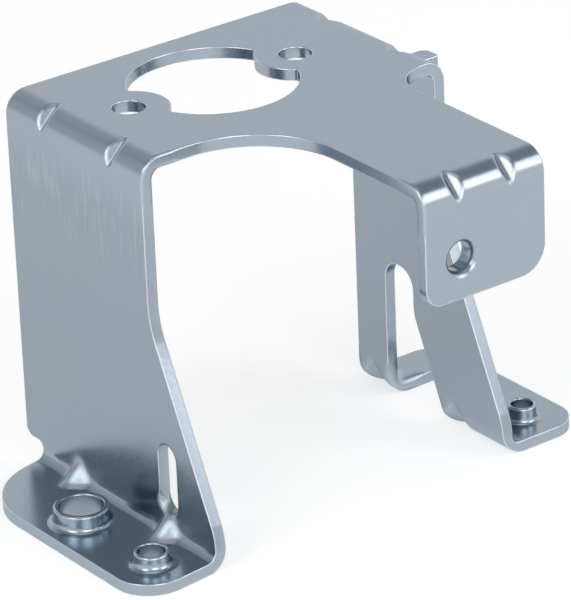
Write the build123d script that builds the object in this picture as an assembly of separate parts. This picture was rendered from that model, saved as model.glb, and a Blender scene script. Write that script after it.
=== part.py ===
from build123d import *
import os
from math import radians, tan

os.makedirs("parts", exist_ok=True)

# One-piece bracket, stamped and folded from steel sheet. Millimetres.
# It stands on two feet. Origin: centre of the round opening, on the top face.
# X runs from the left leg to the right leg, Y to the rear, Z up.

# ---- sheet and folds ----
SHEET = 2.5                      # thickness
BEND_IN = 2.2                    # inside radius of the folds
BEND_OUT = BEND_IN + SHEET       # outside radius of the folds
HARD_BEND_IN = 1.8               # the right foot's fold is struck harder: tighter inside,
HARD_BEND_OUT = 5.8              # thinner and rounder outside
BEYOND = 12.0                    # how far a cutting prism runs past the sheet

# ---- levels and faces ----
FOOT_TOP = -80.0                 # upper face of both feet
FOOT_UNDER = FOOT_TOP - SHEET    # the face that the bracket stands on
LEFT_FACE = -35.0                # outer face of the left leg
RIGHT_FACE = 41.4                # outer face of the right leg
LEFT_FOOT_END = -53.7
RIGHT_FOOT_END = 60.35
REAR = 22.9                      # rear edge of the top plate and of the legs

# ---- top plate, arm and tab ----
FRONT_LEFT = -23.5               # front edge beside the left leg
FRONT_RIGHT = -22.3              # front edge beside the right leg
ARM_LEFT = -3.1
ARM_RIGHT_ROOT = 27.1
ARM_RIGHT_END = 26.5
ARM_LEFT_FILLET = 20.0
ARM_RIGHT_FILLET = 9.3
TAB_FACE = -71.3                 # outer face of the tab that hangs from the arm
TAB_BOTTOM = -25.2
TAB_CORNER_LEFT = 4.0
TAB_CORNER_RIGHT = 6.0

# ---- holes in the top plate ----
OPENING_R = 17.5                 # round opening
BOLT_X = 20.8                    # bolt holes at plus and minus this
BOLT_R = 3.5
EAR_R = 8.4                      # ear of sheet round each bolt hole
EAR_BLEND = 1.0                  # rounding where an ear meets the opening

# ---- legs, side view ----
FLARE_SLOPE = 0.468              # forward run of the front edge for each mm down
LEFT_FLARE_TOP = -34.7
RIGHT_FLARE_TOP = -33.2
FLARE_FILLET = 20.0
LEFT_TOE = -42.4                 # front edge where the left foot starts
RIGHT_TOE = -42.0
TOE_FILLET = 11.0
LEFT_NOTCH_Z = -76.2             # the left leg's rear edge steps in at the foot
LEFT_NOTCH_OUTER_R = 2.0
LEFT_NOTCH_INNER_R = 1.6
LEFT_HEEL = 17.3                 # rear edge where the left foot starts
RIGHT_HEEL = 5.8                 # rear edge of the right leg's lower part
RIGHT_SHOULDER_TOP = -12.0       # the right leg narrows between these levels
RIGHT_SHOULDER_FOOT = -27.0
SHOULDER_FILLET = 7.0

# ---- feet, plan view ----
LEFT_FOOT_REAR = 13.7            # rear line of the left foot, carried to its outer edge
LEFT_FOOT_REAR_R = 17.0
LEFT_FOOT_FRONT = -44.1
LEFT_FOOT_FRONT_R = 8.3
RIGHT_FOOT_R = 6.8

# ---- slot in the left leg ----
SLOT_Y = -27.3
SLOT_WIDTH = 6.1
SLOT_LOW = -75.4
SLOT_HIGH = -59.9

# ---- window in the right leg, which runs on into the foot ----
WINDOW_REAR = -4.1
WINDOW_FRONT = -13.4
WINDOW_TOP = -50.0
WINDOW_TOP_R = 4.4
WINDOW_FLARE_TOP = -59.5
WINDOW_TOE = -21.7
WINDOW_TOE_R = 3.0
WINDOW_FLARE_R = 9.0
WINDOW_FOOT_END = 54.0
WINDOW_FOOT_R = 3.0

# ---- lug folded out of the right leg ----
LUG_TOP = -9.5
LUG_END = 56.1
LUG_HALF = 2.3
LUG_CORNER_FRONT = 0.5
LUG_CORNER_REAR = 1.6
LUG_ROOT = 1.0                   # how far the lug's section runs up into the leg above its fold
LUG_RELIEF = 0.7                 # gap beside the lug in the window that it leaves
LUG_WINDOW_LOW = -24.5

# ---- darts pressed across the folds ----
# groove's valley and rib's ridge from the sharp outer corner of the fold, half angle, tip rounding
TOP_DART = (3.6, 6.05, 46.0, 0.45)
WIDE_DART = (4.2, 6.5, 60.0, 0.8)
LEFT_FOOT_DART = (4.6, 7.14, 54.0, 1.0)
RIGHT_FOOT_DART = (5.1, 7.14, 54.0, 1.0)
DART_RIB_BASE = 4.0              # where the rib's wedge starts, inside the sheet
DART_SKIN = 0.7                  # keeps the rib's ends below the sheet's outer faces
LEFT_TOP_DARTS_Y = (10.8, -12.4)
RIGHT_TOP_DARTS_Y = (11.6, -11.6)
TAB_DARTS_X = (5.3, 18.1)
LEFT_FOOT_DARTS_Y = (4.1, -27.0)
RIGHT_FOOT_DARTS_Y = (1.0, -26.1)

# ---- collars drawn up from the feet, and the hole plunged into the tab ----
# centre x, centre y, bore radius, outer radius, spread of the base, height
LEFT_LARGE_COLLAR = (-44.9, -10.5, 4.6, 5.75, 1.35, 3.6)
LEFT_SMALL_COLLAR = (-45.0, -34.6, 2.8, 3.6, 1.8, 3.1)
RIGHT_COLLAR = (50.65, -34.0, 2.3, 2.97, 1.3, 3.5)
FOOT_MOUTH = 1.5                 # the bore widens by this in two bevels, at the underside
FOOT_MOUTH_BREAK = 0.3           # part of that widening that the steep inner bevel has
RIM_OUTER = 0.3                  # bevels of a collar's rim
RIM_INNER = 0.2
TAB_HOLE_X = 6.0
TAB_HOLE_Z = -16.8
TAB_HOLE_R = 3.1
TAB_MOUTH = 2.0                  # spread of the plunged hole's rounded mouth, on the outer face
TAB_COLLAR_R = 3.9
TAB_COLLAR_BASE = 1.0
TAB_COLLAR_HEIGHT = 2.0

# ---- tangent lines where the folds start ----
LEFT_TANGENT = LEFT_FACE + BEND_OUT
RIGHT_TANGENT = RIGHT_FACE - BEND_OUT
LEFT_FOOT_TANGENT = LEFT_FACE - BEND_IN
RIGHT_FOOT_TANGENT = RIGHT_FACE + BEND_IN
TAB_TANGENT = TAB_FACE + BEND_OUT


def outline(plane, corners):
    """Face on a plane; each corner is (a, b, radius of its rounding)."""
    points = [(a, b) for a, b, radius in corners]
    radii = [radius for a, b, radius in corners]
    with BuildSketch(plane) as sketch:
        with BuildLine():
            FilletPolyline(points, radius=radii, close=True)
        make_face()
    return sketch.sketch


def prism(plane, corners, low, high):
    """Solid between two levels along the plane's normal."""
    return extrude(outline(plane.offset(low), corners), amount=high - low)


def main_strip():
    """Section of the folded sheet, from the left foot over the top to the right foot."""
    upper = [
        (LEFT_FOOT_END, FOOT_TOP, 0),
        (LEFT_FACE, FOOT_TOP, BEND_IN),
        (LEFT_FACE, 0, BEND_OUT),
        (RIGHT_FACE, 0, BEND_OUT),
        (RIGHT_FACE, FOOT_TOP, HARD_BEND_IN),
        (RIGHT_FOOT_END, FOOT_TOP, 0),
    ]
    lower = [
        (RIGHT_FOOT_END, FOOT_UNDER, 0),
        (RIGHT_FACE - SHEET, FOOT_UNDER, HARD_BEND_OUT),
        (RIGHT_FACE - SHEET, -SHEET, BEND_IN),
        (LEFT_FACE + SHEET, -SHEET, BEND_IN),
        (LEFT_FACE + SHEET, FOOT_UNDER, BEND_OUT),
        (LEFT_FOOT_END, FOOT_UNDER, 0),
    ]
    return prism(Plane.XZ, upper + lower, -REAR, -TAB_FACE)


def top_outline():
    """Plan of the top plate and its arm, between the tangent lines of the folds."""
    corners = [
        (LEFT_TANGENT, REAR, 0),
        (RIGHT_TANGENT, REAR, 0),
        (RIGHT_TANGENT, FRONT_RIGHT, 0),
        (ARM_RIGHT_ROOT, FRONT_RIGHT, ARM_RIGHT_FILLET),
        (ARM_RIGHT_END, TAB_TANGENT, 0),
        (ARM_LEFT, TAB_TANGENT, 0),
        (ARM_LEFT, FRONT_LEFT, ARM_LEFT_FILLET),
        (LEFT_TANGENT, FRONT_LEFT, 0),
    ]
    return prism(Plane.XY, corners, -BEND_OUT, BEYOND)


def left_leg_outline():
    """Side view of the left leg, with the folds at its ends."""
    corners = [
        (REAR, BEYOND, 0),
        (REAR, LEFT_NOTCH_Z, LEFT_NOTCH_OUTER_R),
        (LEFT_HEEL, LEFT_NOTCH_Z, LEFT_NOTCH_INNER_R),
        (LEFT_HEEL, FOOT_UNDER - BEYOND, 0),
        (LEFT_TOE, FOOT_UNDER - BEYOND, 0),
        (LEFT_TOE, LEFT_FLARE_TOP - (FRONT_LEFT - LEFT_TOE) / FLARE_SLOPE, TOE_FILLET),
        (FRONT_LEFT, LEFT_FLARE_TOP, FLARE_FILLET),
        (FRONT_LEFT, BEYOND, 0),
    ]
    return prism(Plane.YZ, corners, LEFT_FOOT_TANGENT, LEFT_TANGENT)


def right_leg_outline():
    """Side view of the right leg, with its window."""
    outer = [
        (REAR, BEYOND, 0),
        (REAR, RIGHT_SHOULDER_TOP, SHOULDER_FILLET),
        (RIGHT_HEEL, RIGHT_SHOULDER_FOOT, SHOULDER_FILLET),
        (RIGHT_HEEL, FOOT_UNDER - BEYOND, 0),
        (RIGHT_TOE, FOOT_UNDER - BEYOND, 0),
        (RIGHT_TOE, RIGHT_FLARE_TOP - (FRONT_RIGHT - RIGHT_TOE) / FLARE_SLOPE, TOE_FILLET),
        (FRONT_RIGHT, RIGHT_FLARE_TOP, FLARE_FILLET),
        (FRONT_RIGHT, BEYOND, 0),
    ]
    flare_foot = WINDOW_FLARE_TOP - (WINDOW_FRONT - WINDOW_TOE) / FLARE_SLOPE
    window = [
        (WINDOW_REAR, WINDOW_TOP, WINDOW_TOP_R),
        (WINDOW_REAR, FOOT_UNDER - BEYOND, 0),
        (WINDOW_TOE, FOOT_UNDER - BEYOND, 0),
        (WINDOW_TOE, flare_foot, WINDOW_TOE_R),
        (WINDOW_FRONT, WINDOW_FLARE_TOP, WINDOW_FLARE_R),
        (WINDOW_FRONT, WINDOW_TOP, WINDOW_TOP_R),
    ]
    whole = prism(Plane.YZ, outer, RIGHT_TANGENT, RIGHT_FOOT_TANGENT)
    return whole - prism(Plane.YZ, window, RIGHT_TANGENT, RIGHT_FOOT_TANGENT)


def left_foot_outline():
    """Plan of the left foot, beyond its fold."""
    corners = [
        (LEFT_FOOT_TANGENT, LEFT_HEEL, 0),
        (LEFT_FOOT_END, LEFT_FOOT_REAR, LEFT_FOOT_REAR_R),
        (LEFT_FOOT_END, LEFT_FOOT_FRONT, LEFT_FOOT_FRONT_R),
        (LEFT_FOOT_TANGENT, LEFT_TOE, 0),
    ]
    return prism(Plane.XY, corners, FOOT_UNDER - BEYOND, FOOT_TOP + BEYOND)


def right_foot_outline():
    """Plan of the right foot, beyond its fold, with the window's lower part."""
    outer = [
        (RIGHT_FOOT_TANGENT, RIGHT_HEEL, 0),
        (RIGHT_FOOT_END, RIGHT_HEEL, RIGHT_FOOT_R),
        (RIGHT_FOOT_END, RIGHT_TOE, RIGHT_FOOT_R),
        (RIGHT_FOOT_TANGENT, RIGHT_TOE, 0),
    ]
    window = [
        (RIGHT_FOOT_TANGENT, WINDOW_REAR, 0),
        (WINDOW_FOOT_END, WINDOW_REAR, WINDOW_FOOT_R),
        (WINDOW_FOOT_END, WINDOW_TOE, WINDOW_FOOT_R),
        (RIGHT_FOOT_TANGENT, WINDOW_TOE, 0),
    ]
    levels = (FOOT_UNDER - BEYOND, FOOT_TOP + BEYOND)
    return prism(Plane.XY, outer, *levels) - prism(Plane.XY, window, *levels)


def folded_sheet():
    """The sheet folded into two feet, two legs and a top, trimmed to its outlines."""
    trims = top_outline() + left_leg_outline() + right_leg_outline()
    trims += left_foot_outline() + right_foot_outline()
    return main_strip() & trims


def tab():
    """The arm's end, folded down."""
    section = [
        (TAB_TANGENT, 0, 0),
        (TAB_FACE, 0, BEND_OUT),
        (TAB_FACE, TAB_BOTTOM, 0),
        (TAB_FACE + SHEET, TAB_BOTTOM, 0),
        (TAB_FACE + SHEET, -SHEET, BEND_IN),
        (TAB_TANGENT, -SHEET, 0),
    ]
    strip = prism(Plane.YZ, section, ARM_LEFT, ARM_RIGHT_END)
    corners = [
        (ARM_LEFT, BEYOND, 0),
        (ARM_RIGHT_END, BEYOND, 0),
        (ARM_RIGHT_END, TAB_BOTTOM, TAB_CORNER_RIGHT),
        (ARM_LEFT, TAB_BOTTOM, TAB_CORNER_LEFT),
    ]
    return strip & prism(Plane.XZ, corners, 0, -TAB_FACE + BEYOND)


def lug():
    """Narrow lug folded out of the right leg, hinged above the window that it leaves."""
    root = LUG_TOP + BEND_IN + LUG_ROOT
    section = [
        (RIGHT_FACE, root, 0),
        (RIGHT_FACE, LUG_TOP, BEND_IN),
        (LUG_END, LUG_TOP, 0),
        (LUG_END, LUG_TOP - SHEET, 0),
        (RIGHT_FACE - SHEET, LUG_TOP - SHEET, BEND_OUT),
        (RIGHT_FACE - SHEET, root, 0),
    ]
    strip = prism(Plane.XZ, section, -LUG_HALF, LUG_HALF)
    corners = [
        (RIGHT_TANGENT, -LUG_HALF, 0),
        (LUG_END, -LUG_HALF, LUG_CORNER_FRONT),
        (LUG_END, LUG_HALF, LUG_CORNER_REAR),
        (RIGHT_TANGENT, LUG_HALF, 0),
    ]
    return strip & prism(Plane.XY, corners, LUG_TOP - BEYOND, LUG_TOP + BEYOND)


def lug_window():
    """Opening in the right leg that the lug was folded out of."""
    half = LUG_HALF + LUG_RELIEF
    top = LUG_TOP + BEND_IN
    corners = [
        (-half, top, LUG_RELIEF / 3),
        (half, top, LUG_RELIEF / 3),
        (half, LUG_WINDOW_LOW, half / 2),
        (-half, LUG_WINDOW_LOW, half / 2),
    ]
    return prism(Plane.YZ, corners, RIGHT_FACE - 2 * SHEET, RIGHT_FACE + SHEET)


def wedge(place, peak, base, half_angle, tip, half_length):
    """V-shaped bar along the place's normal; its rounded edge is at height peak."""
    half_width = (peak - base) * tan(radians(half_angle))
    corners = [(0, peak, tip), (-half_width, base, 0), (half_width, base, 0)]
    return prism(place, corners, -half_length, half_length)


def dart(corner, axis, inward, sizes):
    """Rib and groove of one dart, at the sharp outer corner of a fold."""
    valley, ridge, half_angle, tip = sizes
    axis = Vector(*axis)
    inward = Vector(*inward).normalized()
    along_chord = Plane(origin=corner, x_dir=axis, z_dir=axis.cross(inward))
    across_fold = Plane(origin=corner, x_dir=inward, z_dir=axis)
    rib = wedge(along_chord, ridge, DART_RIB_BASE, half_angle, tip, ridge)
    far = 2 * ridge
    inside = [(DART_SKIN, 0, 0), (far, far - DART_SKIN, 0), (far, DART_SKIN - far, 0)]
    rib &= prism(across_fold, inside, -ridge, ridge)
    groove = wedge(along_chord, valley, -valley, half_angle, tip, 2 * valley)
    return rib, groove


def all_darts():
    """The ribs and grooves of every dart."""
    pairs = []
    for y in LEFT_TOP_DARTS_Y:
        pairs.append(dart((LEFT_FACE, y, 0), (0, 1, 0), (1, 0, -1), TOP_DART))
    for y in RIGHT_TOP_DARTS_Y:
        pairs.append(dart((RIGHT_FACE, y, 0), (0, 1, 0), (-1, 0, -1), WIDE_DART))
    for x in TAB_DARTS_X:
        pairs.append(dart((x, TAB_FACE, 0), (1, 0, 0), (0, 1, -1), TOP_DART))
    for y in LEFT_FOOT_DARTS_Y:
        pairs.append(dart((LEFT_FACE + SHEET, y, FOOT_UNDER), (0, 1, 0), (-1, 0, 1), LEFT_FOOT_DART))
    for y in RIGHT_FOOT_DARTS_Y:
        pairs.append(dart((RIGHT_FACE - SHEET, y, FOOT_UNDER), (0, 1, 0), (1, 0, 1), RIGHT_FOOT_DART))
    return pairs


def collar(place, sizes, mouth, round_mouth):
    """Collar drawn up from a flat wall, and its bore; the place is on the wall's upper face."""
    bore, outer, base, height = sizes
    section = Plane(origin=place.origin, x_dir=place.x_dir, z_dir=-place.y_dir)
    middle = Axis(place.origin, place.z_dir)
    spread = outer + 2 * base
    buried = -SHEET / 2
    with BuildSketch(section) as stem:
        with BuildLine():
            Polyline((0, buried), (spread, buried), (spread, 0), (outer + base, 0))
            Bezier((outer + base, 0), (outer, 0), (outer, base))
            Polyline((outer, base), (outer, height - RIM_OUTER), (outer - RIM_OUTER, height))
            Polyline((outer - RIM_OUTER, height), (0, height), (0, buried))
        make_face()
    above = height + SHEET
    below = -2 * SHEET
    rim = bore + RIM_INNER
    start = (bore, mouth - SHEET)
    end = (bore + mouth, -SHEET)
    step = FOOT_MOUTH_BREAK * mouth
    with BuildSketch(section) as hole:
        with BuildLine():
            Polyline((0, above), (rim, above), (rim, height), (bore, height - RIM_INNER), start)
            if round_mouth:
                Bezier(start, (bore, -SHEET), end)
            else:
                Polyline(start, (bore + step, step - SHEET), end)
            Polyline(end, (bore + mouth, below), (0, below), (0, above))
        make_face()
    return revolve(stem.sketch, middle), revolve(hole.sketch, middle)


def all_collars():
    """Every drawn collar with its bore."""
    pairs = []
    for x, y, *sizes in (LEFT_LARGE_COLLAR, LEFT_SMALL_COLLAR, RIGHT_COLLAR):
        place = Plane(origin=(x, y, FOOT_TOP))
        pairs.append(collar(place, sizes, FOOT_MOUTH, round_mouth=False))
    tab_hole = (TAB_HOLE_X, TAB_FACE + SHEET, TAB_HOLE_Z)
    inner_face = Plane(origin=tab_hole, x_dir=(1, 0, 0), z_dir=(0, 1, 0))
    sizes = (TAB_HOLE_R, TAB_COLLAR_R, TAB_COLLAR_BASE, TAB_COLLAR_HEIGHT)
    pairs.append(collar(inner_face, sizes, TAB_MOUTH, round_mouth=True))
    return pairs


def top_holes():
    """The round opening without its two ears, and a bolt hole in each ear."""
    opening = Circle(OPENING_R)
    bolts = Sketch()
    for x in (-BOLT_X, BOLT_X):
        opening -= Pos(x, 0) * Circle(EAR_R)
        bolts += Pos(x, 0) * Circle(BOLT_R)
    opening = fillet(opening.vertices(), EAR_BLEND)
    return extrude(opening + bolts, amount=SHEET, both=True)


def slot():
    """Upright slot with round ends in the left leg."""
    middle = (SLOT_LOW + SLOT_HIGH) / 2
    shape = Pos(SLOT_Y, middle) * SlotOverall(SLOT_HIGH - SLOT_LOW, SLOT_WIDTH, rotation=90)
    return extrude(Plane.YZ.offset(LEFT_FACE - SHEET) * shape, amount=3 * SHEET)


bracket = folded_sheet() + tab()
bracket -= lug_window()
bracket += lug()
for rib, groove in all_darts():
    bracket = bracket + rib - groove
for stem, bore in all_collars():
    bracket = bracket + stem - bore
bracket = bracket - top_holes() - slot()
bracket.label = "bracket"

print("bracket solids", len(bracket.solids()), "volume", round(bracket.volume), bracket.bounding_box())
export_step(bracket, "parts/bracket.step")
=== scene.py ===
from math import cos, radians, sin

import bpy
from mathutils import Matrix, Vector


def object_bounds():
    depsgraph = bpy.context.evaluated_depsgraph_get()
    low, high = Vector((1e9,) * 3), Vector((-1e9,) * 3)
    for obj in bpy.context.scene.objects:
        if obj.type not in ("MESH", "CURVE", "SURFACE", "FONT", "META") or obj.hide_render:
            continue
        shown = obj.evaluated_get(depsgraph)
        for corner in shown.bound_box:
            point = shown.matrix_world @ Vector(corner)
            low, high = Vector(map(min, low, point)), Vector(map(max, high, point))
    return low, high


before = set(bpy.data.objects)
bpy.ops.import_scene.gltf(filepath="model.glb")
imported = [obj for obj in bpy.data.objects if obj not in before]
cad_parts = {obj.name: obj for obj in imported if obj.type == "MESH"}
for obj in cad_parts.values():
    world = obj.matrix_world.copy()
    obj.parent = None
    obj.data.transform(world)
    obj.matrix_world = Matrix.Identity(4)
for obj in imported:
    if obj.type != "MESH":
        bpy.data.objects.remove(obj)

cad_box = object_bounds()
MM = 0.001                         # lengths below are in metres where no name says otherwise

# ---- the photograph's view ----
IMAGE_WIDTH, IMAGE_HEIGHT = 571, 600
FOCAL_PX = 4700.0                  # focal length in pixels of the frame above
VIEW_AZIMUTH, VIEW_ELEVATION, VIEW_ROLL = -36.33, 25.2, -2.35
ORIGIN_PIXEL = (213.0, 80.0)       # where the part's origin falls in the frame
PX_PER_MM = 4.985                  # scale at the part's origin
SENSOR_MM = 36.0
CLIP_NEAR, CLIP_FAR = 0.05, 20.0

# ---- studio; a rise is a direction's upward part, 0 when level and 1 overhead ----
WHITE = (1.0, 1.0, 1.0, 1.0)
WORLD_LIGHT = (0.40, 0.40, 0.40, 1.0)      # colour of the light that the world sheds
CEILING_COLOUR = (0.30, 0.34, 0.385, 1.0)
CEILING_RISE = (0.42, 0.80)                # the surround dims to the ceiling over these
ROOF_LIGHT_RISE = (0.90, 0.985)            # and turns light again over these
CORNER_COLOUR = (0.62, 0.65, 0.69, 1.0)
CORNER_TOWARDS = (-0.54, 0.73, 0.43)
CORNER_SPREAD = (0.86, 0.97)               # cosine of the angle from the corner's middle
FLOOR_SIZE = 12.0
FLOOR_COLOUR = (0.65, 0.65, 0.65, 1.0)
FLOOR_LIFT = 0.61                          # glow added where the floor is looked at
FLOOR_FADE = (0.4, 1.6)                    # distance over which it turns as white as the world
SOFTBOX_DISTANCE = 1.3
WATTS_PER_RADIANCE = 4.0                   # for each square metre of a softbox
SOFTBOXES = {                              # direction from the part, size, radiance
    "softbox_right": ((0.54, -0.69, 0.48), 0.68, 1.6),
    "softbox_left": ((-0.80, -0.20, 0.57), 0.60, 2.2),
    "softbox_front": ((-0.27, -0.87, 0.42), 0.70, 1.6),
}

# ---- zinc plating; noises are in features for each metre along X, Y and Z ----
ZINC_BLUE = (0.36, 0.426, 0.482, 1.0)
ZINC_ROSE = (0.37, 0.415, 0.472, 1.0)
ZINC_GRAZING = (0.76, 0.79, 0.82, 1.0)     # tint of reflections at grazing angles
CLOUDS, CLOUD_DETAIL = (28.0, 28.0, 28.0), 2.0
CLOUD_STEP = (0.38, 0.62)                  # noise values over which blue turns to rose
ZINC_STREAK = (0.52, 0.56, 0.60, 1.0)      # upright drawing marks on the left leg
STREAKS, STREAK_DETAIL = (1000.0, 1000.0, 110.0), 1.0
STREAK_STEP = (0.52, 0.66)                 # noise values over which a streak shows
STREAK_FOOT = (-0.038, -0.016)             # levels over which they fade downwards
STREAK_TOP = (-0.016, -0.005)              # and upwards
STREAK_SIDE = (-0.034, -0.0345)            # only the leg's outer face has them
STREAK_AMOUNT = 0.60
ZINC_PAINTED_SHADE = (0.305, 0.34, 0.388, 1.0)      # painted shade: the legs are darker than the top and the feet
PAINTED_SHADE_SIDE = (0.031, 0.035)                 # distance from the middle where that starts
PAINTED_SHADE_FOOT = (-0.079, -0.076)               # levels over which it starts above the feet
PAINTED_SHADE_TOP = (-0.020, -0.004)                # and ends below the top
PAINTED_SHADE_AMOUNT = 0.65
ZINC_PAINTED_HIGHLIGHT = (0.74, 0.78, 0.81, 1.0)      # painted highlight where the edges are rounded
HIGHLIGHT_TURN = (0.93, 0.995)                # cosine of the surface's turn there
HIGHLIGHT_EDGE, HIGHLIGHT_DART = 0.80, 0.25      # amount at a sheared edge, and at a dart
GRAIN, GRAIN_DETAIL = (1400.0, 1400.0, 1400.0), 3.0
GRAIN_STEP = (0.3, 0.7)
ROUGH_LOW, ROUGH_HIGH = 0.20, 0.27
PEEL, PEEL_DETAIL = (180.0, 180.0, 180.0), 1.0
PEEL_HEIGHT = 0.00001

# ---- rounding of the edges, in shading only ----
ROUNDING_SAMPLES = 8
EDGE_ROLL = 0.00045                        # radius at the sheared edges
TOP_DART_ROLL = 0.0012                     # at the darts pressed into the upper folds
FOOT_DART_ROLL = 0.0030                    # at the darts raised from the feet's folds
DART_ZONE = (0.0055, 0.0085)               # distance over which the larger radius gives way
TOP_DARTS_MM = (                           # middles of the darts: left, right and tab folds
    (-34, 10.8, -1), (-34, -12.4, -1),
    (40.4, 11.6, -1), (40.4, -11.6, -1),
    (5.3, -70.3, -1), (18.1, -70.3, -1),
)
FOLD_ENDS_MM = ((-33, -23.5, -3), (-3.1, -70, -3))    # front of the left fold, left of the tab's
TAB_HOLE_MM = ((6, -71.3, -16.8),)
FOOT_DARTS_MM = (
    (-37, 4.1, -78), (-37, -27, -78),
    (43.4, 1, -78), (43.4, -26.1, -78),
)


def make_camera():
    """Camera at the fitted viewing angle, with the part's origin at its pixel."""
    azimuth = radians(VIEW_AZIMUTH)
    elevation = radians(VIEW_ELEVATION)
    roll = radians(VIEW_ROLL)
    level_back = Vector((sin(azimuth), -cos(azimuth), 0.0))
    back = cos(elevation) * level_back + sin(elevation) * Vector((0.0, 0.0, 1.0))
    level_right = Vector((cos(azimuth), sin(azimuth), 0.0))
    level_up = back.cross(level_right)
    right = cos(roll) * level_right + sin(roll) * level_up
    up = -sin(roll) * level_right + cos(roll) * level_up
    depth = FOCAL_PX / PX_PER_MM * MM
    across = (ORIGIN_PIXEL[0] - IMAGE_WIDTH / 2) / FOCAL_PX * depth
    down = (ORIGIN_PIXEL[1] - IMAGE_HEIGHT / 2) / FOCAL_PX * depth
    place = back * depth - right * across + up * down
    data = bpy.data.cameras.new("camera")
    data.sensor_width = SENSOR_MM
    data.lens = FOCAL_PX / max(IMAGE_WIDTH, IMAGE_HEIGHT) * SENSOR_MM
    data.clip_start, data.clip_end = CLIP_NEAR, CLIP_FAR
    camera = bpy.data.objects.new("camera", data)
    axes = Matrix((right, up, back)).transposed().to_4x4()
    camera.matrix_world = Matrix.Translation(place) @ axes
    bpy.context.scene.collection.objects.link(camera)
    bpy.context.scene.camera = camera


def node(tree, kind, inputs=None, **settings):
    """New shader node with its settings and input values."""
    made = tree.nodes.new(kind)
    for name, value in settings.items():
        setattr(made, name, value)
    for name, value in (inputs or {}).items():
        made.inputs[name].default_value = value
    return made


def link(tree, source, target):
    """Joins an output socket to an input socket."""
    tree.links.new(source, target)


def split(tree, vector):
    """X, Y and Z outputs of a vector."""
    made = node(tree, "ShaderNodeSeparateXYZ")
    link(tree, vector, made.inputs["Vector"])
    return made.outputs


def maths(tree, operation, *terms):
    """Result of a maths node on one or two sockets."""
    made = node(tree, "ShaderNodeMath", operation=operation)
    for term, socket in zip(terms, made.inputs):
        link(tree, term, socket)
    return made.outputs["Value"]


def product(tree, *factors):
    """All the factors multiplied."""
    result = factors[0]
    for factor in factors[1:]:
        result = maths(tree, "MULTIPLY", result, factor)
    return result


def vector_maths(tree, operation, *terms):
    """Value of a vector maths node; each term is a socket or a plain vector."""
    made = node(tree, "ShaderNodeVectorMath", operation=operation)
    for term, socket in zip(terms, made.inputs):
        if isinstance(term, Vector):
            socket.default_value = term
        else:
            link(tree, term, socket)
    return made.outputs["Value"]


def ramp(tree, source, low, high, to_low, to_high):
    """Smooth change from one value to another as the source goes from low to high."""
    limits = {"From Min": low, "From Max": high, "To Min": to_low, "To Max": to_high}
    made = node(tree, "ShaderNodeMapRange", limits, interpolation_type="SMOOTHSTEP")
    link(tree, source, made.inputs["Value"])
    return made.outputs["Result"]


def noise(tree, place, features, detail):
    """Noise with its own number of features for each metre along each axis."""
    scaled = node(tree, "ShaderNodeMapping", {"Scale": features})
    link(tree, place, scaled.inputs["Vector"])
    made = node(tree, "ShaderNodeTexNoise", {"Scale": 1.0, "Detail": detail})
    link(tree, scaled.outputs["Vector"], made.inputs["Vector"])
    return made.outputs["Fac"]


def mix_colour(tree, factor, first, second):
    """First colour where the factor is 0, second where it is 1; sockets or plain colours."""
    made = node(tree, "ShaderNodeMix", data_type="RGBA")
    link(tree, factor, made.inputs["Factor"])
    for value, socket in zip((first, second), (made.inputs["A"], made.inputs["B"])):
        if isinstance(value, tuple):
            socket.default_value = value
        else:
            link(tree, value, socket)
    return made.outputs["Result"]


def mix_shader(tree, factor, first, second):
    """First shader where the factor is 0, second where it is 1."""
    made = node(tree, "ShaderNodeMixShader")
    for source, socket in zip((factor, first, second), made.inputs):
        link(tree, source, socket)
    return made.outputs["Shader"]


def nearest_place(tree, place, places_mm):
    """Distance to the nearest of the places."""
    nearest = None
    for place_mm in places_mm:
        distance = vector_maths(tree, "DISTANCE", place, Vector(place_mm) * MM)
        nearest = maths(tree, "MINIMUM", nearest, distance) if nearest else distance
    return nearest


def rounding_radius(tree, place):
    """Radius of the rounding of edges, larger at the darts, the folds' ends and the tab hole."""
    upper = nearest_place(tree, place, TOP_DARTS_MM + FOLD_ENDS_MM + TAB_HOLE_MM)
    lower = nearest_place(tree, place, FOOT_DARTS_MM)
    return maths(
        tree, "MAXIMUM",
        ramp(tree, upper, *DART_ZONE, TOP_DART_ROLL, EDGE_ROLL),
        ramp(tree, lower, *DART_ZONE, FOOT_DART_ROLL, EDGE_ROLL),
    )


def zinc_colour(tree, place):
    """Blue and rose clouds, with streaks on the left leg and painted shade darkening the legs.
    """
    axes = split(tree, place)
    across, level = axes["X"], axes["Z"]
    clouds = ramp(tree, noise(tree, place, CLOUDS, CLOUD_DETAIL), *CLOUD_STEP, 0.0, 1.0)
    colour = mix_colour(tree, clouds, ZINC_BLUE, ZINC_ROSE)
    lines = noise(tree, place, STREAKS, STREAK_DETAIL)
    streak = product(
        tree,
        ramp(tree, lines, *STREAK_STEP, 0.0, STREAK_AMOUNT),
        ramp(tree, level, *STREAK_FOOT, 0.0, 1.0),
        ramp(tree, level, *STREAK_TOP, 1.0, 0.0),
        ramp(tree, across, *STREAK_SIDE, 0.0, 1.0),
    )
    colour = mix_colour(tree, streak, colour, ZINC_STREAK)
    # painted shade: the legs are darkened, standing in for the darker surroundings they reflect
    painted_shade = product(
        tree,
        ramp(tree, maths(tree, "ABSOLUTE", across), *PAINTED_SHADE_SIDE, 0.0, PAINTED_SHADE_AMOUNT),
        ramp(tree, level, *PAINTED_SHADE_FOOT, 0.0, 1.0),
        ramp(tree, level, *PAINTED_SHADE_TOP, 1.0, 0.0),
    )
    return mix_colour(tree, painted_shade, colour, ZINC_PAINTED_SHADE)


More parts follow.
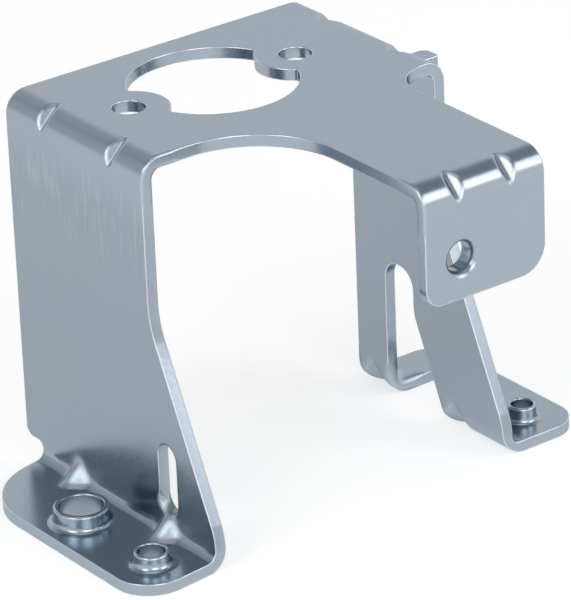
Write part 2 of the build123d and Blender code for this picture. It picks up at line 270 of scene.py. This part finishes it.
def painted_edge_highlight(tree, radius, rounded):
    """How strongly a painted highlight lightens the rounded edges; most at the sheared edges,
    least at the darts.
    """
    flat = node(tree, "ShaderNodeNewGeometry").outputs["Normal"]
    turn = vector_maths(tree, "DOT_PRODUCT", rounded, flat)
    return product(
        tree,
        ramp(tree, turn, *HIGHLIGHT_TURN, 1.0, 0.0),
        ramp(tree, radius, EDGE_ROLL, TOP_DART_ROLL, HIGHLIGHT_EDGE, HIGHLIGHT_DART),
    )


def zinc_material():
    """Satin zinc plating on folded steel sheet, with its edges rounded and lightened by a
    painted highlight.
    """
    material = bpy.data.materials.new("zinc_plated_steel")
    material.use_nodes = True
    tree = material.node_tree
    shader = tree.nodes["Principled BSDF"]
    shader.inputs["Metallic"].default_value = 1.0
    shader.inputs["Specular Tint"].default_value = ZINC_GRAZING
    place = node(tree, "ShaderNodeTexCoord").outputs["Object"]

    radius = rounding_radius(tree, place)
    edges = node(tree, "ShaderNodeBevel", samples=ROUNDING_SAMPLES)
    link(tree, radius, edges.inputs["Radius"])
    rounded = edges.outputs["Normal"]
    # painted highlight: the base colour is lightened where the edges are rounded
    painted_highlight = painted_edge_highlight(tree, radius, rounded)
    colour = mix_colour(tree, painted_highlight, zinc_colour(tree, place), ZINC_PAINTED_HIGHLIGHT)
    link(tree, colour, shader.inputs["Base Color"])

    grain = noise(tree, place, GRAIN, GRAIN_DETAIL)
    rough = ramp(tree, grain, *GRAIN_STEP, ROUGH_LOW, ROUGH_HIGH)
    link(tree, rough, shader.inputs["Roughness"])
    peel = node(tree, "ShaderNodeBump", {"Distance": PEEL_HEIGHT})
    link(tree, noise(tree, place, PEEL, PEEL_DETAIL), peel.inputs["Height"])
    link(tree, rounded, peel.inputs["Normal"])
    link(tree, peel.outputs["Normal"], shader.inputs["Normal"])
    return material


def looked_at(tree):
    """1 for rays from the camera, from gloss and through glass, otherwise 0."""
    rays = node(tree, "ShaderNodeLightPath").outputs
    direct = maths(tree, "MAXIMUM", rays["Is Camera Ray"], rays["Is Glossy Ray"])
    return maths(tree, "MAXIMUM", direct, rays["Is Transmission Ray"])


def make_world():
    """White surround, dimmer at the ceiling round a roof light and at the left rear."""
    world = bpy.data.worlds.new("studio")
    bpy.context.scene.world = world
    world.use_nodes = True
    tree = world.node_tree
    tree.nodes.clear()
    towards = node(tree, "ShaderNodeTexCoord").outputs["Generated"]
    rise = split(tree, towards)["Z"]
    ceiling = product(
        tree,
        ramp(tree, rise, *CEILING_RISE, 0.0, 1.0),
        ramp(tree, rise, *ROOF_LIGHT_RISE, 1.0, 0.0),
    )
    facing = vector_maths(tree, "DOT_PRODUCT", towards, Vector(CORNER_TOWARDS).normalized())
    corner = ramp(tree, facing, *CORNER_SPREAD, 0.0, 1.0)
    studio = mix_colour(tree, corner, WHITE, CORNER_COLOUR)
    studio = mix_colour(tree, ceiling, studio, CEILING_COLOUR)
    colour = mix_colour(tree, looked_at(tree), WORLD_LIGHT, studio)
    light = node(tree, "ShaderNodeBackground")
    link(tree, colour, light.inputs["Color"])
    out = node(tree, "ShaderNodeOutputWorld")
    link(tree, light.outputs["Background"], out.inputs["Surface"])


def floor_material():
    """Pale matt paint that glows where it is looked at and fades into the white surround."""
    material = bpy.data.materials.new("pale_floor")
    material.use_nodes = True
    tree = material.node_tree
    tree.nodes.clear()
    seen = looked_at(tree)
    paint = node(tree, "ShaderNodeBsdfDiffuse", {"Color": FLOOR_COLOUR}).outputs["BSDF"]
    glow = node(tree, "ShaderNodeEmission", {"Strength": FLOOR_LIFT}).outputs["Emission"]
    lifted = node(tree, "ShaderNodeAddShader")
    link(tree, paint, lifted.inputs[0])
    link(tree, glow, lifted.inputs[1])
    near = mix_shader(tree, seen, paint, lifted.outputs["Shader"])
    surround = node(tree, "ShaderNodeEmission", {"Strength": 1.0}).outputs["Emission"]
    place = node(tree, "ShaderNodeTexCoord").outputs["Object"]
    far = ramp(tree, vector_maths(tree, "LENGTH", place), *FLOOR_FADE, 0.0, 1.0)
    out = node(tree, "ShaderNodeOutputMaterial")
    faded = mix_shader(tree, product(tree, far, seen), near, surround)
    link(tree, faded, out.inputs["Surface"])
    return material


def make_floor():
    """Wide floor at the level of the undersides of the feet."""
    bpy.ops.mesh.primitive_plane_add(size=FLOOR_SIZE, location=(0, 0, cad_box[0].z))
    floor = bpy.context.object
    floor.name = "floor"
    floor.data.materials.append(floor_material())


def make_lamp(name, towards, size, radiance):
    """Square softbox that faces the part."""
    data = bpy.data.lights.new(name, "AREA")
    data.shape = "SQUARE"
    data.size = size
    data.energy = WATTS_PER_RADIANCE * size * size * radiance
    lamp = bpy.data.objects.new(name, data)
    direction = Vector(towards).normalized()
    lamp.location = direction * SOFTBOX_DISTANCE
    lamp.rotation_mode = "QUATERNION"
    lamp.rotation_quaternion = direction.to_track_quat("Z", "Y")
    bpy.context.scene.collection.objects.link(lamp)


make_camera()
make_world()
make_floor()
for name, settings in SOFTBOXES.items():
    make_lamp(name, *settings)
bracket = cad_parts["bracket"]
bracket.data.materials.clear()
bracket.data.materials.append(zinc_material())

bpy.context.scene.view_settings.view_transform = "Standard"
